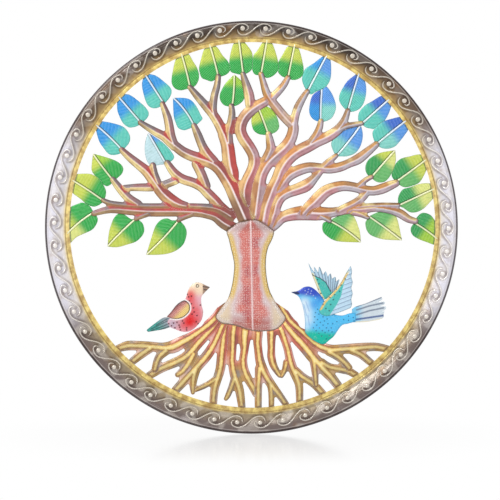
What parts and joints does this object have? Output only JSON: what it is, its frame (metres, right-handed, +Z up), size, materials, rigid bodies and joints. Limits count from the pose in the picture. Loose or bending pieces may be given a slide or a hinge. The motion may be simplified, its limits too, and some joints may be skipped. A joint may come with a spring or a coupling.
{
  "type": "tree of life wall panel",
  "caption": "Round wall panel: painted sheet-steel tree with leaves, roots and two birds inside a crowned rim, with a swinging hanging ring on the back.",
  "frame": {"origin": "middle of the panel: centre of the rim, half way between the wall plane and the rim's crown", "axes": "+X to the viewer's right, +Z up, the face looks along -Y and the wall is at +Y"},
  "size_m": [0.6, 0.016, 0.6],
  "materials": {
    "rim_lacquer": "clear lacquer over stained, hand-chased steel, semi-gloss",
    "trunk_paint": "transparent red and white paint over punched steel, gloss lacquer",
    "limb_paint": "gold, pink and brown paint over chased steel, gloss lacquer",
    "root_paint": "gold, red and brown paint over chased steel, gloss lacquer",
    "green_leaf_paint": "yellow-green to green transparent paint, gloss lacquer",
    "blue_leaf_paint": "blue to teal transparent paint, gloss lacquer",
    "red_bird_paint": "cream, pink and red paint with dark spots, gloss lacquer",
    "red_wing_paint": "maroon to gold paint, gloss lacquer",
    "red_tail_paint": "teal paint with dark lines, gloss lacquer",
    "blue_bird_paint": "royal blue, sky blue and teal paint with dark spots, gloss lacquer",
    "blue_wing_paint": "teal and pale blue paint with feather lines, gloss lacquer",
    "blue_tail_paint": "grey-blue paint with feather lines, gloss lacquer",
    "zinc": "bright zinc plate"
  },
  "bodies": {
    "panel": {"rim": "rim_lacquer", "trunk": "trunk_paint", "main_left_limb": "limb_paint", "main_right_limb": "limb_paint", "upper_right_limb": "limb_paint", "upper_left_limb": "limb_paint", "winding_limb": "limb_paint", "second_left_limb": "limb_paint", "low_left_limb": "limb_paint", "third_left_limb": "limb_paint", "third_right_limb": "limb_paint", "second_right_limb": "limb_paint", "low_right_limb": "limb_paint", "root_left_1": "root_paint", "root_right_1": "root_paint", "root_left_2": "root_paint", "root_right_2": "root_paint", "root_left_3": "root_paint", "root_right_3": "root_paint", "root_left_4": "root_paint", "root_centre_right": "root_paint", "root_centre_left": "root_paint", "leaf_01": "green_leaf_paint", "leaf_02": "green_leaf_paint", "leaf_03": "green_leaf_paint", "leaf_04": "green_leaf_paint", "leaf_05": "green_leaf_paint", "leaf_06": "blue_leaf_paint", "leaf_07": "blue_leaf_paint", "leaf_08": "blue_leaf_paint", "leaf_09": "blue_leaf_paint", "leaf_10": "blue_leaf_paint", "leaf_11": "green_leaf_paint", "leaf_12": "green_leaf_paint", "leaf_13": "green_leaf_paint", "leaf_14": "green_leaf_paint", "leaf_15": "green_leaf_paint", "leaf_16": "green_leaf_paint", "leaf_17": "green_leaf_paint", "leaf_18": "blue_leaf_paint", "leaf_19": "blue_leaf_paint", "leaf_20": "blue_leaf_paint", "leaf_21": "blue_leaf_paint", "leaf_22": "blue_leaf_paint", "leaf_23": "blue_leaf_paint", "leaf_24": "green_leaf_paint", "leaf_25": "green_leaf_paint", "leaf_26": "green_leaf_paint", "leaf_27": "green_leaf_paint", "leaf_28": "green_leaf_paint", "leaf_29": "green_leaf_paint", "red_bird_body": "red_bird_paint", "red_bird_wing": "red_wing_paint", "red_bird_tail": "red_tail_paint", "blue_bird_body": "blue_bird_paint", "blue_bird_near_wing": "blue_wing_paint", "blue_bird_far_wing": "blue_wing_paint", "blue_bird_tail": "blue_tail_paint", "hanger_strap": "zinc"},
    "ring": {"hanger_ring": "zinc"}
  },
  "joints": [
    {"name": "ring_swing", "type": "hinge", "parent": "panel", "child": "ring", "pos_m": [0, 0.00427, 0.28505], "axis": [1, 0, 0], "range_deg": [0, 180]}
  ]
}
